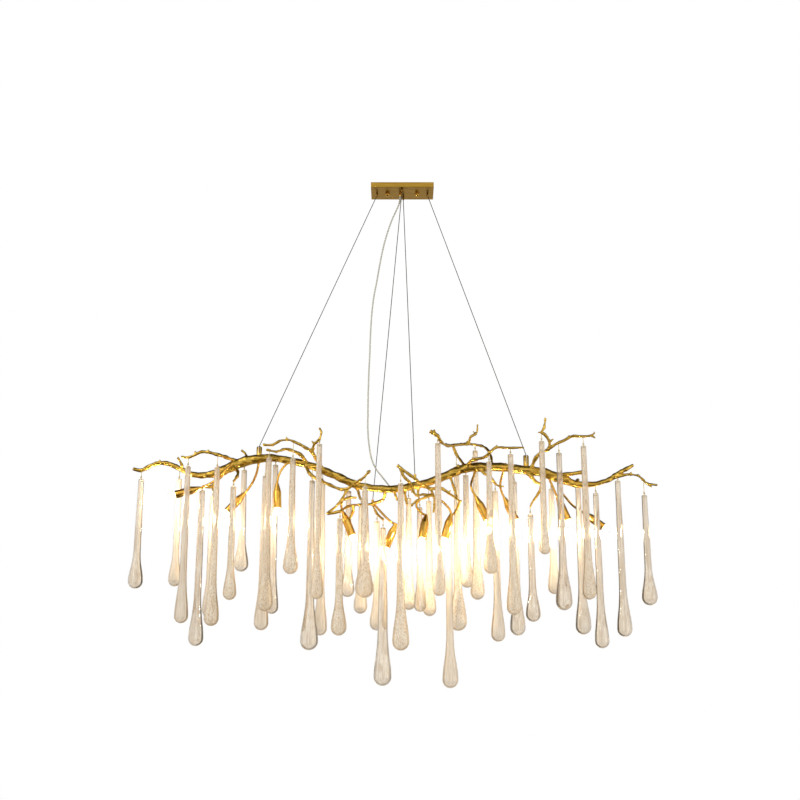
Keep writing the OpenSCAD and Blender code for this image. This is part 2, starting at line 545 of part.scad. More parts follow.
// A lamp cup: a cone that joins its arm, a straight shade and an open mouth.
module lamp_cups() {
    color(gold) for (i = [0:len(arm_routes) - 1]) lamp_at(i) rotate_extrude($fn = 48) polygon([
        [arm_d / 2 - 0.4, -2], [arm_d / 2 + 0.8, -2], [cup_d / 2, cone_l], [cup_d / 2, cone_l + cup_l],
        [cup_d / 2 - cup_wall, cone_l + cup_l], [cup_d / 2 - cup_wall, cone_l], [0, cone_l],
        [0, cone_l - cup_wall], [arm_d / 2 - 0.4, cone_l - cup_wall - 1]
    ]);
}
module lamp_at(i) {
    a = arm_routes[i];
    aim(a[len(a) - 1], arm_aims[i]) children();
}

module lamp_holders() {
    color("ivory") for (i = [0:len(arm_routes) - 1]) lamp_at(i)
        translate([0, 0, cone_l]) cylinder(h = holder_l, d = cup_d - 2 * cup_wall - 2 * holder_gap, $fn = 48);
}

// A lamp capsule stands on its holder and ends in a dome outside the cup's mouth.
module lamp_capsules() {
    base = cone_l + holder_l;
    straight = cup_l - holder_l + lamp_out - lamp_d / 2;
    color([1, 0.96, 0.85]) for (i = [0:len(arm_routes) - 1]) lamp_at(i)
        translate([0, 0, base]) rotate_extrude($fn = 48) polygon([
            [0, 0], [lamp_d / 2, 0], [lamp_d / 2, straight],
            for (a = [15:15:75]) [lamp_d / 2 * cos(a), straight + lamp_d / 2 * sin(a)],
            [0, straight + lamp_d / 2]
        ]);
}

// A hanger: a wire from the wood, a cross bar over the glass, two legs and the pin through it.
bar_rise = 4.2;
module hanger(i) {
    top = drop_top(i);
    leg_y = neck_d / 2 + loop_gap + hook_d / 2;
    bar = top + [0, 0, bar_rise];
    pin = top - [0, 0, eye];
    rod(pin - [0, leg_y, 0], pin + [0, leg_y, 0], pin_d);
    rod(bar - [0, leg_y, 0], bar + [0, leg_y, 0], pin_d);
    for (s = [-1, 1]) translate([top.x, top.y + s * leg_y, pin.z])
        cylinder(h = eye + bar_rise, d = hook_d, $fn = 32);
    translate(bar) cylinder(h = drops[i][1] * k - bar_rise, d = hook_d, $fn = 32);
}
module drop_hangers() {
    color(gold) for (i = [0:len(drops) - 1]) hanger(i);
}

// A glass drop: [radius, height] from its flat top down its stem into a bulb with a round end.
// The bulb swells out of the stem as a bell curve whose width is a share of the length.
swell_share = 0.15;
swell_start = 2.4;
bore_d = pin_d + 2 * pin_gap;
function drop_profile(l, bulb, stem) =
    let (w = l * swell_share, c = l - bulb / 2, rs = stem / 2, rb = bulb / 2, s0 = c - swell_start * w)
    [
        [0, 0], [neck_d / 2 - 1, 0], [neck_d / 2, -1.2], [neck_d / 2 + (rs - neck_d / 2) * 0.7, -s0 * 0.35], [rs, -s0],
        for (j = [1:8])
            let (s = s0 + (c - s0) * j / 9, q = (s - c) / w) [rs + (rb - rs) * exp(-q * q), -s],
        for (a = [0:12:84]) [rb * cos(a), -c - rb * sin(a)],
        [0, -l]
    ];
module glass_drop(i) {
    d = drops[i];
    top = drop_top(i);
    color(glass) difference() {
        translate(top) rotate_extrude($fn = 64) polygon(drop_profile(d[2], d[3], d[4]));
        translate(top - [0, d[4], eye]) rotate([-90, 0, 0]) cylinder(h = 2 * d[4], d = bore_d, $fn = 48);
    }
}

ceiling_bracket();
bracket_studs();
canopy_cover();
cap_nuts();
terminal_block();
wire_grips();
cord_grip();
suspension_wires();
power_cord();
wire_posts();
main_branch();
twigs();
lamp_arms();
lamp_cups();
lamp_holders();
lamp_capsules();
drop_hangers();
for (i = [0:len(drops) - 1]) glass_drop(i);
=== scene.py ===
"""Branch chandelier with blown glass drops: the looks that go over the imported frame.

Metres, in the frame of the CAD model: the origin lies on the ceiling at the middle of the canopy,
X runs to the right, Y to the back and Z up.
"""
import enum
import itertools
import logging
import math
from collections.abc import Mapping, Sequence
from dataclasses import dataclass, field

import bmesh
import bpy
import numpy as np
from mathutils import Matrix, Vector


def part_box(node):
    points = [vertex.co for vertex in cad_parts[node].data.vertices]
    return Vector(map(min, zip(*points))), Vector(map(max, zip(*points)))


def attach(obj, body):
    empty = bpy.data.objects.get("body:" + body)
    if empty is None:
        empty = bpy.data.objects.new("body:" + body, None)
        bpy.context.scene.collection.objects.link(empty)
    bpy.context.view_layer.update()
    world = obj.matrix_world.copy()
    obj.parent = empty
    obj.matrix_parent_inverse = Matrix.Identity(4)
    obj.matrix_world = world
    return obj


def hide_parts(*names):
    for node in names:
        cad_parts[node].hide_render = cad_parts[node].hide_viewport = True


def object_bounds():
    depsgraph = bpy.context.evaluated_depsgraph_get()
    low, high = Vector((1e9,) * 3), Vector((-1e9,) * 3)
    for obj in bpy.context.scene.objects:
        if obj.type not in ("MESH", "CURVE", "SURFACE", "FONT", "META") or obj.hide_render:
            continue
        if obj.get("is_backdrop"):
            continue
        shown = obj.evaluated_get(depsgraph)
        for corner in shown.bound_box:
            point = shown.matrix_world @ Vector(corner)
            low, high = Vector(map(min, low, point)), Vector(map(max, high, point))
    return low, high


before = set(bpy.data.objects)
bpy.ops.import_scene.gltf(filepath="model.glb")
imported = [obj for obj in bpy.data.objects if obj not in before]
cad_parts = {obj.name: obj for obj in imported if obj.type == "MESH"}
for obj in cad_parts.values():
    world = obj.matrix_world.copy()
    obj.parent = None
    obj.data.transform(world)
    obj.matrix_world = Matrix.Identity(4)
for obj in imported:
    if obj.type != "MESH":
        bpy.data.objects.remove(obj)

Array = np.ndarray
Colour = tuple[float, float, float, float]
log = logging.getLogger("chandelier")
MM = 0.001


# Colours, nodes and finishes.

def linear(hex_colour: str) -> Colour:
    """Turns an sRGB hex colour into linear RGBA.

    Args:
        hex_colour: a colour such as "#e3b23c".
    Returns:
        The four linear channels, alpha 1.
    """
    srgb = np.array([int(hex_colour[i:i + 2], 16) for i in (1, 3, 5)]) / 255
    channels = np.where(srgb <= 0.04045, srgb / 12.92, ((srgb + 0.055) / 1.055) ** 2.4)
    return (float(channels[0]), float(channels[1]), float(channels[2]), 1.0)


def add_node(tree: bpy.types.NodeTree, kind: str, links: Mapping[str | int, bpy.types.NodeSocket] | None = None,
             values: Mapping[str | int, object] | None = None, stops: Sequence[tuple[float, str]] = (),
             **settings: object) -> bpy.types.Node:
    """Adds one node with its settings, constants and links.

    Args:
        tree: the node tree.
        kind: the node's type name without ShaderNode before it.
        links: output sockets by the name or index of the input that they feed.
        values: constants by the name or index of their input.
        stops: (position, hex colour) pairs of a colour ramp.
        settings: the node's own attributes.
    Returns:
        The new node.
    """
    node = tree.nodes.new(f"ShaderNode{kind}")
    for key, value in settings.items():
        setattr(node, key, value)
    for key, value in (values or {}).items():
        node.inputs[key].default_value = value
    for key, source in (links or {}).items():
        tree.links.new(source, node.inputs[key])
    if stops:
        elements = node.color_ramp.elements
        while len(elements) < len(stops):
            elements.new(0.5)
        for element, (position, colour) in zip(elements, stops):
            element.position = position
            element.color = linear(colour)
    return node


def new_material(name: str) -> tuple[bpy.types.Material, bpy.types.NodeTree, bpy.types.NodeSocket]:
    """Makes an empty material whose surface is still to be linked.

    Args:
        name: the material's name.
    Returns:
        The material, its tree and the Object coordinates.
    """
    material = bpy.data.materials.new(name)
    material.use_nodes = True
    tree = material.node_tree
    tree.nodes.clear()
    coords = add_node(tree, "TexCoord")
    return material, tree, coords.outputs["Object"]


def show(tree: bpy.types.NodeTree, shader: bpy.types.Node) -> None:
    """Links a shader to the material's surface output."""
    add_node(tree, "OutputMaterial", links={"Surface": shader.outputs[0]})


@dataclass(frozen=True)
class MetalFinish:
    """A metal whose tone and relief vary along a grain.

    Attributes:
        name: the material's name.
        dark: hex colour of the worn or shaded places.
        light: hex colour of the clean metal.
        roughness: the mean roughness.
        spread: how far the roughness varies about the mean.
        grain: size in millimetres of the pattern along X, Y and Z.
        relief: depth of the surface relief in millimetres.
        pits: size in millimetres of the finer second pattern, 0 for none.
    """

    name: str
    dark: str
    light: str
    roughness: float
    spread: float
    grain: tuple[float, float, float]
    relief: float
    pits: float = 0.0

    def build(self) -> bpy.types.Material:
        """Builds the node material: one stretched noise drives tone, roughness and relief."""
        material, tree, coords = new_material(self.name)
        scale = tuple(1 / (MM * size) for size in self.grain)
        stretched = add_node(tree, "Mapping", {"Vector": coords}, {"Scale": scale})
        grain = add_node(tree, "TexNoise", {"Vector": stretched.outputs[0]},
                         {"Scale": 1.0, "Detail": 5.0, "Roughness": 0.6})
        tone = add_node(tree, "ValToRGB", {"Fac": grain.outputs["Fac"]},
                        stops=((0.30, self.dark), (0.62, self.light)))
        rough = add_node(tree, "MapRange", {"Value": grain.outputs["Fac"]},
                         {"From Min": 0.3, "From Max": 0.7, "To Min": self.roughness + self.spread,
                          "To Max": self.roughness - self.spread})
        bump = add_node(tree, "Bump", {"Height": grain.outputs["Fac"]},
                        {"Strength": 0.9, "Distance": self.relief * MM})
        if self.pits:
            fine = add_node(tree, "TexNoise", {"Vector": coords},
                            {"Scale": 1 / (MM * self.pits), "Detail": 3.0})
            bump = add_node(tree, "Bump", {"Height": fine.outputs["Fac"], "Normal": bump.outputs[0]},
                            {"Strength": 0.6, "Distance": 0.4 * self.relief * MM})
        shader = add_node(tree, "BsdfPrincipled",
                          {"Base Color": tone.outputs[0], "Roughness": rough.outputs[0], "Normal": bump.outputs[0]},
                          {"Metallic": 1.0})
        show(tree, shader)
        return material


@dataclass(frozen=True)
class PlainFinish:
    """A non-metal such as a moulded plastic or a glazed ceramic.

    Attributes:
        name: the material's name.
        dark: hex colour of the darker mottling.
        light: hex colour of the rest.
        roughness: the roughness.
        mottle: size of the mottling in millimetres.
        relief: depth of the relief in millimetres.
        coat: weight of a clear glaze.
    """

    name: str
    dark: str
    light: str
    roughness: float
    mottle: float
    relief: float
    coat: float = 0.0

    def build(self) -> bpy.types.Material:
        """Builds the node material: a fine noise mottles the colour and dents the surface."""
        material, tree, coords = new_material(self.name)
        noise = add_node(tree, "TexNoise", {"Vector": coords},
                         {"Scale": 1 / (MM * self.mottle), "Detail": 4.0})
        tone = add_node(tree, "ValToRGB", {"Fac": noise.outputs["Fac"]},
                        stops=((0.35, self.dark), (0.65, self.light)))
        bump = add_node(tree, "Bump", {"Height": noise.outputs["Fac"]},
                        {"Strength": 0.5, "Distance": self.relief * MM})
        shader = add_node(tree, "BsdfPrincipled",
                          {"Base Color": tone.outputs[0], "Normal": bump.outputs[0]},
                          {"Roughness": self.roughness, "Coat Weight": self.coat, "Coat Roughness": 0.05})
        show(tree, shader)
        return material


class GlassKind(enum.Enum):
    """How a drop's glass was drawn."""

    CLEAR = "clear"
    MILKY = "milky"
    SEEDED = "seeded"


@dataclass(frozen=True)
class BlownGlass:
    """Soda glass drawn by hand: warm, with long cords in it and, where seeded, bubbles.

    Attributes:
        kind: clear, milky or seeded.
        warm: hex tint of the thick middle.
        pale: hex tint of the clearer streaks.
        edge: hex colour of the painted dark line near the rim, painted shade that stands in for the darker view
            that the glass bends in from the side.
        haze: share of the light that the glass scatters.
        roughness: roughness of the surface.
        streak: width and length in millimetres of the cords in the glass.
        seed: size in millimetres of the bubbles, drawn coarser than real ones so that they show.
    """

    kind: GlassKind
    warm: str = "#dfcfbb"
    pale: str = "#f9f1e4"
    edge: str = "#4a4238"
    haze: float = 0.22
    roughness: float = 0.06
    streak: tuple[float, float] = (4.0, 80.0)
    seed: float = 2.6

    def build(self) -> bpy.types.Material:
        """Builds the node material: streaks tint the glass, seeds and streaks bend the light.

        The dark line near the rim is painted shade, and the ring inside it a painted highlight. The line is
        weighted by the place's X times the normal's X, so it is dark on the edge that faces the middle of the
        chandelier and faint on the other, which the lamps light up.
        """
        material, tree, coords = new_material(f"{self.kind.value}_blown_glass")
        wide, long = self.streak
        drawn = add_node(tree, "Mapping", {"Vector": coords},
                         {"Scale": (1 / (MM * wide), 1 / (MM * wide), 1 / (MM * long))})
        streaks = add_node(tree, "TexNoise", {"Vector": drawn.outputs[0]},
                           {"Scale": 1.0, "Detail": 3.0, "Roughness": 0.55})
        tint = add_node(tree, "ValToRGB", {"Fac": streaks.outputs["Fac"]},
                        stops=((0.40, self.warm), (0.60, self.pale)))
        bump = add_node(tree, "Bump", {"Height": streaks.outputs["Fac"]},
                        {"Strength": 0.8, "Distance": 0.5 * MM})
        # Painted light and shade: by how squarely the surface faces the view, a painted bright ring inside the rim
        # and a painted dark line at the rim tint the glass.
        facing = add_node(tree, "LayerWeight", {"Normal": bump.outputs[0]}, {"Blend": 0.5})
        rings = add_node(tree, "ValToRGB", {"Fac": facing.outputs["Facing"]},
                         stops=((0.10, "#efece7"), (0.26, "#ffffff"), (0.38, self.edge), (0.56, self.edge),
                                (0.70, "#e8e4dc")))
        place = add_node(tree, "SeparateXYZ", {0: coords})
        surface = add_node(tree, "NewGeometry")
        way = add_node(tree, "SeparateXYZ", {0: surface.outputs["Normal"]})
        # Painted shade: the rim line is darkened on the side of each drop that faces the middle of the chandelier,
        # and kept faint on the side that the lamps light.
        outward = add_node(tree, "Math", {0: place.outputs["X"], 1: way.outputs["X"]},
                           operation="MULTIPLY")
        shade = add_node(tree, "MapRange", {"Value": outward.outputs[0]},
                         {"From Min": -0.3, "From Max": 0.15, "To Min": 1.0, "To Max": 0.3})
        painted_rim_tint = add_node(tree, "Mix", {0: shade.outputs[0], 6: tint.outputs[0], 7: rings.outputs[0]},
                         data_type="RGBA", blend_type="MULTIPLY")
        if self.kind is GlassKind.SEEDED:
            flat = add_node(tree, "Mapping", {"Vector": coords},
                            {"Scale": (1 / (MM * self.seed), 1 / (MM * self.seed), 0.6 / (MM * self.seed))})
            seeds = add_node(tree, "TexNoise", {"Vector": flat.outputs[0]},
                             {"Scale": 1.0, "Detail": 2.0, "Roughness": 0.7})
            bubbles = add_node(tree, "ValToRGB", {"Fac": seeds.outputs["Fac"]},
                               stops=((0.38, "#ab9068"), (0.50, "#ffffff")))
            painted_rim_tint = add_node(tree, "Mix", {6: painted_rim_tint.outputs[2], 7: bubbles.outputs[0]}, {0: 0.6},
                             data_type="RGBA", blend_type="MULTIPLY")
            bump = add_node(tree, "Bump", {"Height": seeds.outputs["Fac"], "Normal": bump.outputs[0]},
                            {"Strength": 0.8, "Distance": 1.2 * MM})
        clear = add_node(tree, "BsdfPrincipled",
                         {"Base Color": painted_rim_tint.outputs[2], "Normal": bump.outputs[0]},
                         {"Roughness": self.roughness, "IOR": 1.47, "Transmission Weight": 1.0 - self.haze})
        show(tree, clear)
        return material


@dataclass(frozen=True)
class ClearVinyl:
    """Clear PVC cord jacket over tinned wires: grey, glossy and half see-through."""

    name: str = "clear_pvc"
    tint: str = "#dadbd2"
    wires: str = "#a9aaa0"
    lay_mm: float = 9.0

    def build(self) -> bpy.types.Material:
        """Builds the node material: slanted bands show the twisted wires inside the jacket."""
        material, tree, coords = new_material(self.name)
        turned = add_node(tree, "Mapping", {"Vector": coords},
                          {"Rotation": (0.0, 0.5, 0.0), "Scale": (1 / (MM * self.lay_mm),) * 3})
        bands = add_node(tree, "TexWave", {"Vector": turned.outputs[0]},
                         {"Scale": 0.5, "Distortion": 0.4}, bands_direction="Z")
        tone = add_node(tree, "ValToRGB", {"Fac": bands.outputs["Fac"]},
                        stops=((0.2, self.wires), (0.8, self.tint)))
        shader = add_node(tree, "BsdfPrincipled", {"Base Color": tone.outputs[0]},
                          {"Roughness": 0.18, "IOR": 1.53, "Transmission Weight": 0.45})
        show(tree, shader)
        return material


@dataclass(frozen=True)
class LitCapsule:
    """A lit lamp capsule: warm white, its glow mottled by a fine noise."""

    name: str = "lit_lamp_glass"
    glow: str = "#fff0c8"
    strength: float = 7.0

    def build(self) -> bpy.types.Material:
        """Builds the node material: the glass glows warm white and keeps a gloss."""
        material, tree, coords = new_material(self.name)
        noise = add_node(tree, "TexNoise", {"Vector": coords}, {"Scale": 120.0})
        tone = add_node(tree, "ValToRGB", {"Fac": noise.outputs["Fac"]},
                        stops=((0.3, "#ffe6ae"), (0.7, self.glow)))
        shader = add_node(tree, "BsdfPrincipled", {"Emission Color": tone.outputs[0]},
                          {"Base Color": linear("#fff6e4"), "Roughness": 0.1, "Emission Strength": self.strength})
        show(tree, shader)
        return material


# Gilded cast brass: satin gold with olive hollows, cast over real twigs.
CAST_BRASS = MetalFinish("gilded_cast_brass", "#8f6810", "#e8c35e", 0.29, 0.06, (14.0, 6.0, 6.0), 1.0, 2.4)
# Cast brass of the rope posts: a copy of the casting's metal, painted lighter than the casting round them to stand
# in for the light that they catch.
POST_BRASS = MetalFinish("filed_cast_brass", "#c0932f", "#f0cd76", 0.24, 0.05, (6.0, 6.0, 20.0), 0.06)
# Polished brass tube: smooth and warm, with faint drawing lines.
POLISHED_BRASS = MetalFinish("polished_brass", "#d39c36", "#efc463", 0.17, 0.04, (14.0, 14.0, 40.0), 0.05)
# Brushed brass sheet: a satin face with hairlines along its length.
BRUSHED_BRASS = MetalFinish("brushed_brass_sheet", "#95731f", "#bb9642", 0.34, 0.06, (60.0, 1.6, 1.6), 0.06)
# Zinc plated steel: blue grey, mottled by its spangle.
ZINC_STEEL = MetalFinish("zinc_plated_steel", "#9aa0a4", "#c9cdd0", 0.38, 0.08, (6.0, 6.0, 6.0), 0.03)
# Stranded steel rope: dark grey, dull between its strands.
STRAND_STEEL = MetalFinish("stranded_steel", "#3b3937", "#4f4d4a", 0.58, 0.04, (3.0, 3.0, 30.0), 0.01)
# Bent steel wire, lightly gilded: a pale straw grey.
HOOK_STEEL = MetalFinish("gilded_steel_wire", "#cdb98a", "#f0e2bc", 0.24, 0.05, (5.0, 5.0, 12.0), 0.03)
# Polished brass of the small wire grips, painted dark brown as painted shade, with small bright lines.
GRIP_BRASS_PAINTED_SHADE = MetalFinish("aged_brass", "#503a1c", "#96702f", 0.28, 0.05, (4.0, 4.0, 9.0), 0.03)
# Turned brass of the terminal screws: dull yellow.
SCREW_BRASS = MetalFinish("turned_brass", "#b98f3f", "#dcb566", 0.3, 0.05, (1.5, 1.5, 4.0), 0.03)
# Moulded nylon: off-white with a soft sheen.
NYLON = PlainFinish("moulded_nylon", "#e2e0d8", "#efeee8", 0.45, 2.5, 0.03)
# Glazed ceramic: ivory, hard and glossy.
CERAMIC = PlainFinish("glazed_ceramic", "#e6dfcd", "#f3eee0", 0.25, 4.0, 0.02, 0.6)
# Clear soda glass: warm grey, with a painted dark line near the rim for the view that the glass bends in.
CLEAR_GLASS = BlownGlass(GlassKind.CLEAR)
# Milky soda glass: soft cream, with faint streaks and a faint painted shade line near the rim.
MILKY_GLASS = BlownGlass(GlassKind.MILKY, warm="#e5d9c9", pale="#f3ebdf", edge="#bdab93", haze=0.45)
# Seeded soda glass: cream, speckled with small tan bubbles, with a faint painted shade line near the rim.
SEEDED_GLASS = BlownGlass(GlassKind.SEEDED, warm="#f5e7d2", pale="#fef8ec", edge="#cbbaa2", haze=0.45)
# Clear PVC cord: greenish grey, with the turns of its wires showing.
VINYL = ClearVinyl()
# Lit lamp glass: glowing warm white.
LAMP = LitCapsule()


# Surfaces worked out as arrays.

def unit(vectors: Array) -> Array:
    """Scales vectors to length 1."""
    return vectors / np.linalg.norm(vectors, axis=-1, keepdims=True)


def smooth_line(points: Array, steps: int) -> Array:
    """Carries a Catmull-Rom curve through points.

    For neighbours a, b, c, d a point at t is 0.5 (2b + (c-a)t + (2a-5b+4c-d)t^2 + (3b-a-3c+d)t^3).

    Args:
        points: (n, 3) points.
        steps: pieces between two neighbours.
    Returns:
        ((n-1) steps + 1, 3) points.
    """
    padded = np.vstack([2 * points[0] - points[1], points, 2 * points[-1] - points[-2]])
    a, b, c, d = (padded[i:len(points) - 1 + i, None] for i in range(4))
    t = (np.arange(steps) / steps)[None, :, None]
    curve = 0.5 * (2 * b + (c - a) * t + (2 * a - 5 * b + 4 * c - d) * t ** 2 + (3 * b - a - 3 * c + d) * t ** 3)
    return np.vstack([curve.reshape(-1, 3), points[-1]])


def sweep(path: Array, radius: Array | float, sides: int, across: Sequence[float], closed: bool = False) -> Array:
    """Carries a circle along a path.

    A ring's point is p + r (cos a u + sin a v), with u = across made square to the tangent t, and v = t x u.

    Args:
        path: (n, 3) centre line.
        radius: one radius, n radii, or (n, sides) radii for a section that isn't round.
        sides: points in a ring.
        across: a direction that the path never takes.
        closed: whether the path runs back into its start.
    Returns:
        (n, sides, 3) grid of points.
    """
    if closed:
        tangent = unit(np.roll(path, -1, 0) - np.roll(path, 1, 0))
    else:
        tangent = unit(np.gradient(path, axis=0))
    reference = np.asarray(across, float)
    u = unit(reference - (tangent @ reference)[:, None] * tangent)
    v = np.cross(tangent, u)
    angle = 2 * np.pi * np.arange(sides) / sides
    reach = np.broadcast_to(np.asarray(radius, float).reshape(-1, 1) if np.ndim(radius) < 2 else radius,
                            (len(path), sides))[..., None]
    ring = np.cos(angle)[None, :, None] * u[:, None] + np.sin(angle)[None, :, None] * v[:, None]
    return path[:, None] + reach * ring


def lathe(profile: Array, sides: int, centre: Sequence[float]) -> Array:
    """Turns a profile about a vertical axis: (r, z) becomes (r cos a, r sin a, z).

    Args:
        profile: (n, 2) radii and heights, rising along the outside of the solid.
        sides: points in a ring.
        centre: the axis's foot; heights are added to its z.
    Returns:
        (n, sides, 3) grid of points.
    """
    angle = 2 * np.pi * np.arange(sides) / sides
    r, z = profile[:, :1], profile[:, 1:]
    grid = np.stack([r * np.cos(angle), r * np.sin(angle), np.broadcast_to(z, (len(r), sides))], axis=-1)
    return grid + np.asarray(centre, float)


@dataclass
class Skin:
    """Gathers tubes into one mesh, every tube closed."""

    points: list[Array] = field(default_factory=list)
    corners: list[Array] = field(default_factory=list)
    counts: list[Array] = field(default_factory=list)
    total: int = 0

    def tube(self, grid: Array, ring: bool = False) -> None:
        """Adds a grid of rings.

        A face joins (i, j), (i, j+1), (i+1, j+1), (i+1, j); a flat face closes each end.

        Args:
            grid: (rings, sides, 3) points.
            ring: whether the last ring joins the first, so that no end is left.
        """
        rings, sides = grid.shape[:2]
        index = np.arange(rings * sides).reshape(rings, sides) + self.total
        low = index if ring else index[:-1]
        high = np.roll(index, -1, 0) if ring else index[1:]
        quads = np.stack([low, np.roll(low, -1, 1), np.roll(high, -1, 1), high], axis=-1).reshape(-1, 4)
        self.points.append(grid.reshape(-1, 3))
        self.corners.append(quads.ravel())
        self.counts.append(np.full(len(quads), 4))
        if not ring:
            self.corners.extend([index[0, ::-1], index[-1]])
            self.counts.append(np.full(2, sides))
        self.total += rings * sides

    def piece(self, name: str) -> bpy.types.Object:
        """Makes the object from what was gathered."""
        points, corners, counts = (np.concatenate(part) for part in (self.points, self.corners, self.counts))
        mesh = bpy.data.meshes.new(name)
        mesh.vertices.add(len(points))
        mesh.loops.add(len(corners))
        mesh.polygons.add(len(counts))
        mesh.vertices.foreach_set("co", points.astype(np.float32).ravel())
        mesh.loops.foreach_set("vertex_index", corners.astype(np.int32))
        mesh.polygons.foreach_set("loop_start", (np.cumsum(counts) - counts).astype(np.int32))
        mesh.update(calc_edges=True)
        mesh.validate()
        return link_piece(name, mesh)


def put(name: str, data: bpy.types.ID, at: Sequence[float] = (0.0, 0.0, 0.0)) -> bpy.types.Object:
    """Puts an object with this data into the scene, at a place in metres."""
    thing = bpy.data.objects.new(name, data)
    thing.location = at
    bpy.context.scene.collection.objects.link(thing)
    return thing


def link_piece(name: str, mesh: bpy.types.Mesh) -> bpy.types.Object:
    """Puts a mesh into the scene, smooth but for its sharp edges."""
    mesh.shade_smooth()
    mesh.set_sharp_from_angle(angle=math.radians(40))
    return put(name, mesh)


def mesh_points(mesh: bpy.types.Mesh) -> Array:
    """Reads a mesh's points as an (n, 3) array."""
    points = np.empty(len(mesh.vertices) * 3, np.float32)
    mesh.vertices.foreach_get("co", points)
    return points.reshape(-1, 3).astype(float)


def solids(node: str) -> list[Array]:
    """Splits a CAD node into the points of its separate solids.

    Points at the same place share a label, and each edge hands the lower label on until none changes.

    Args:
        node: the node's name.
    Returns:
        One (n, 3) array a solid.
    """
    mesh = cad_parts[node].data
    points = mesh_points(mesh)
    _, inverse = np.unique(np.round(points, 6), axis=0, return_inverse=True)
    inverse = inverse.ravel()
    edges = np.empty(len(mesh.edges) * 2, np.int32)
    mesh.edges.foreach_get("vertices", edges)
    a, b = inverse[edges.reshape(-1, 2)].T
    label = np.arange(inverse.max() + 1)
    while True:
        low = np.minimum(label[a], label[b])
        new = label.copy()
        np.minimum.at(new, a, low)
        np.minimum.at(new, b, low)
        new = new[new]
        if (new == label).all():
            break
        label = new
    owner = label[inverse]
    return [points[owner == name] for name in np.unique(owner)]


def merged_copy(name: str, *nodes: str) -> bpy.types.Object:
    """Copies CAD nodes into one new mesh and merges their doubled points.

    Args:
        name: the new piece's name.
        nodes: the nodes that it copies.
    Returns:
        The new piece.
    """
    gather = bmesh.new()
    for node in nodes:
        gather.from_mesh(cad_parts[node].data)
    bmesh.ops.remove_doubles(gather, verts=gather.verts, dist=0.002 * MM)
    bmesh.ops.dissolve_degenerate(gather, edges=gather.edges, dist=0.001 * MM)
    mesh = bpy.data.meshes.new(name)
    gather.to_mesh(mesh)
    gather.free()
    if "custom_normal" in mesh.attributes:
        mesh.attributes.remove(mesh.attributes["custom_normal"])
    return link_piece(name, mesh)


def apply_modifiers(piece: bpy.types.Object) -> None:
    """Turns a piece's modifiers into its mesh."""
    finished = bpy.data.meshes.new_from_object(piece.evaluated_get(bpy.context.evaluated_depsgraph_get()))
    piece.modifiers.clear()
    piece.data = finished


def lattice_noise(points: Array, seed: int = 0) -> Array:
    """Smooth noise from -1 to 1.

    Each lattice corner has a hashed value, and a point blends its eight corners by f f (3 - 2f).

    Args:
        points: (n, 3) points in lattice cells.
        seed: picks another pattern.
    Returns:
        n values.
    """
    cell = np.floor(points).astype(np.int64)
    part = points - cell
    part = part * part * (3 - 2 * part)
    total = np.zeros(len(points))
    for corner in itertools.product((0, 1), repeat=3):
        at = cell + np.array(corner)
        key = (at @ np.array([374761393, 668265263, 1274126177]) + seed * 97531) & 0x7FFFFFFF
        key = ((key ^ (key >> 13)) * 60493) & 0x7FFFFFFF
        key = ((key ^ (key >> 11)) * 19990303) & 0x7FFFFFFF
        weight = np.where(np.array(corner) == 1, part, 1 - part).prod(axis=1)
        total += weight * (key / 0x3FFFFFFF - 1)
    return total


def finish_piece(piece: bpy.types.Object, body: str, material: bpy.types.Material, slot: str, *nodes: str) -> None:
    """Dresses a piece, lets it ride on its body and lets it stand for CAD nodes.

    Args:
        piece: the piece.
        body: the CAD body that it rides on.
        material: its material.
        slot: the record's material slot; not used.
        nodes: the CAD nodes that it replaces.
    """
    piece.data.materials.clear()
    piece.data.materials.append(material)
    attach(piece, body)
    if nodes:
        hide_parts(*nodes)
    log.info("%s: %d faces, rides on %s", piece.name, len(piece.data.polygons), body)


def rounded_copy(name: str, node: str, material: bpy.types.Material, slot: str, width_mm: float,
                 segments: int = 2, angle: float = 40.0) -> None:
    """Copies a node of the frame, rounds its sharp edges and lets the copy stand for it.

    Args:
        name: the new piece's name.
        node: the CAD node.
        material: its material.
        slot: the record's material slot.
        width_mm: width of the rounding.
        segments: faces across it.
        angle: edges flatter than this many degrees stay.
    """
    piece = merged_copy(name, node)
    bevel = piece.modifiers.new("round", "BEVEL")
    bevel.width = width_mm * MM
    bevel.segments = segments
    bevel.limit_method = "ANGLE"
    bevel.angle_limit = math.radians(angle)
    bevel.harden_normals = False
    apply_modifiers(piece)
    finish_piece(piece, "frame", material, slot, node)


# The chandelier's sub-assemblies.

